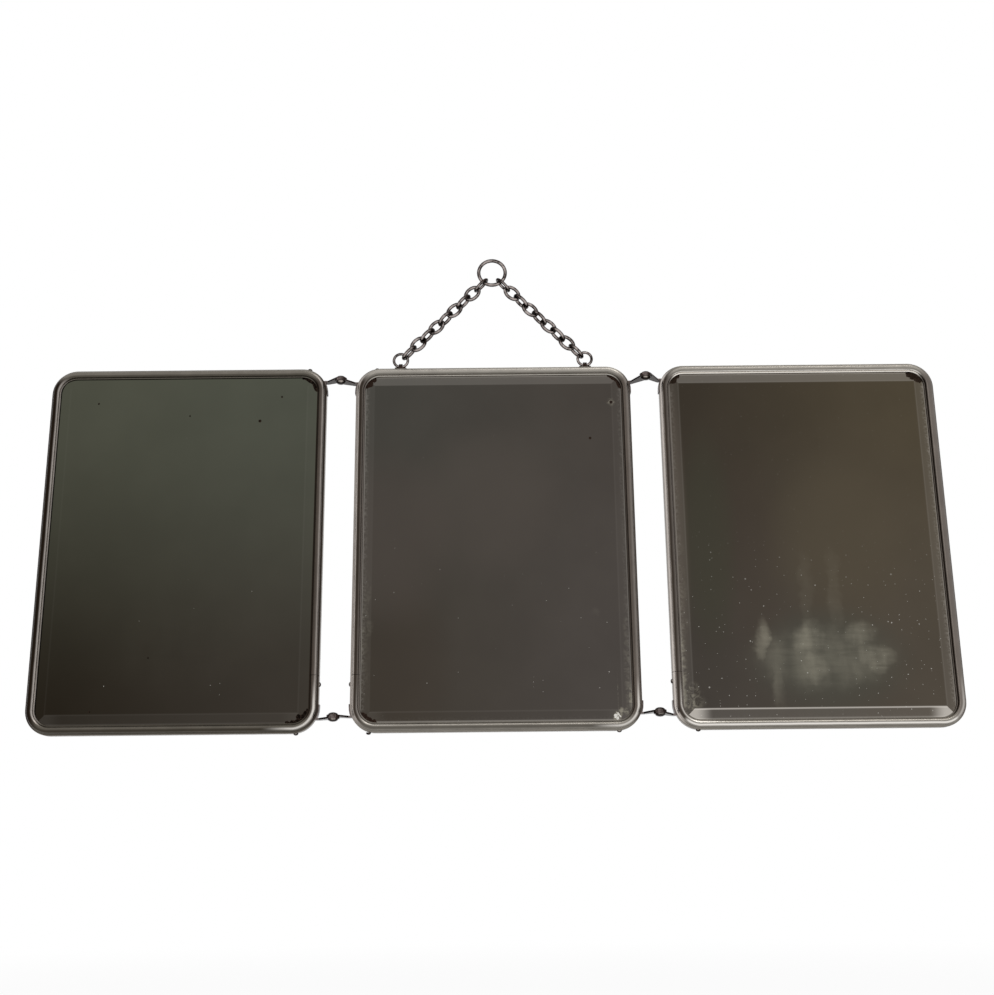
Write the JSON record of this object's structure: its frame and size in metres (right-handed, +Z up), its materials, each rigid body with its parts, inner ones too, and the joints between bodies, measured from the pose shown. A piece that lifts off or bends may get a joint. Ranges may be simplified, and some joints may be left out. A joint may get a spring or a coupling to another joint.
{
  "type": "trifold mirror",
  "caption": "Hanging trifold vanity mirror: bevelled glasses in rolled metal frames, joined by riveted strap hinges and hung by chains from a ring.",
  "frame": {"origin": "the point inside the top of the hanging ring where a hook or nail bears", "axes": "+X to the viewer's right along the three open leaves, +Y from the mirrors' faces to their backs, +Z up through the hanging ring"},
  "size_m": [0.598, 0.0199, 0.3283],
  "materials": {
    "frame_nickel": "worn nickel plate, dulled",
    "left_mirror": "polished glass with ageing silver",
    "centre_mirror": "polished glass with ageing silver",
    "right_mirror": "polished glass with ageing silver, dusty",
    "backing_card": "plain grey-brown strawboard",
    "back_plate": "black japanned sheet",
    "chain_steel": "tarnished wire",
    "hinge_steel": "tarnished strip"
  },
  "bodies": {
    "hanger_ring": {"hanging_ring": "chain_steel"},
    "chain_sling": {"left_chain_link_1": "chain_steel", "left_chain_link_2": "chain_steel", "left_chain_link_3": "chain_steel", "left_chain_link_4": "chain_steel", "left_chain_link_5": "chain_steel", "left_chain_link_6": "chain_steel", "left_chain_link_7": "chain_steel", "left_chain_link_8": "chain_steel", "left_chain_link_9": "chain_steel", "left_eye_ring": "chain_steel", "right_chain_link_1": "chain_steel", "right_chain_link_2": "chain_steel", "right_chain_link_3": "chain_steel", "right_chain_link_4": "chain_steel", "right_chain_link_5": "chain_steel", "right_chain_link_6": "chain_steel", "right_chain_link_7": "chain_steel", "right_chain_link_8": "chain_steel", "right_chain_link_9": "chain_steel", "right_eye_ring": "chain_steel"},
    "centre_leaf": {"left_lug": "hinge_steel", "right_lug": "hinge_steel", "centre_frame": "frame_nickel", "centre_mirror_glass": "centre_mirror", "centre_backing_card": "backing_card", "centre_back_plate": "back_plate", "left_top_hinge_centre_arm": "hinge_steel", "left_top_hinge_rivet": "hinge_steel", "left_bottom_hinge_centre_arm": "hinge_steel", "left_bottom_hinge_rivet": "hinge_steel", "right_top_hinge_centre_arm": "hinge_steel", "right_top_hinge_rivet": "hinge_steel", "right_bottom_hinge_centre_arm": "hinge_steel", "right_bottom_hinge_rivet": "hinge_steel"},
    "left_wing": {"left_frame": "frame_nickel", "left_mirror_glass": "left_mirror", "left_backing_card": "backing_card", "left_back_plate": "back_plate", "left_top_hinge_wing_arm": "hinge_steel", "left_bottom_hinge_wing_arm": "hinge_steel"},
    "right_wing": {"right_frame": "frame_nickel", "right_mirror_glass": "right_mirror", "right_backing_card": "backing_card", "right_back_plate": "back_plate", "right_top_hinge_wing_arm": "hinge_steel", "right_bottom_hinge_wing_arm": "hinge_steel"}
  },
  "joints": [
    {"name": "chain_swing", "type": "hinge", "parent": "hanger_ring", "child": "chain_sling", "pos_m": [0, 0, -0.01536], "axis": [1, 0, 0], "range_deg": [-40, 40]},
    {"name": "mirror_tilt", "type": "hinge", "parent": "chain_sling", "child": "centre_leaf", "pos_m": [0, 0, -0.0779], "axis": [1, 0, 0], "range_deg": [-60, 60]},
    {"name": "left_wing_fold", "type": "hinge", "parent": "centre_leaf", "child": "left_wing", "pos_m": [-0.103, -0.00621, 0], "axis": [0, 0, 1], "range_deg": [-45, 180]},
    {"name": "right_wing_fold", "type": "hinge", "parent": "centre_leaf", "child": "right_wing", "pos_m": [0.103, -0.01091, 0], "axis": [0, 0, -1], "range_deg": [-45, 180]}
  ]
}
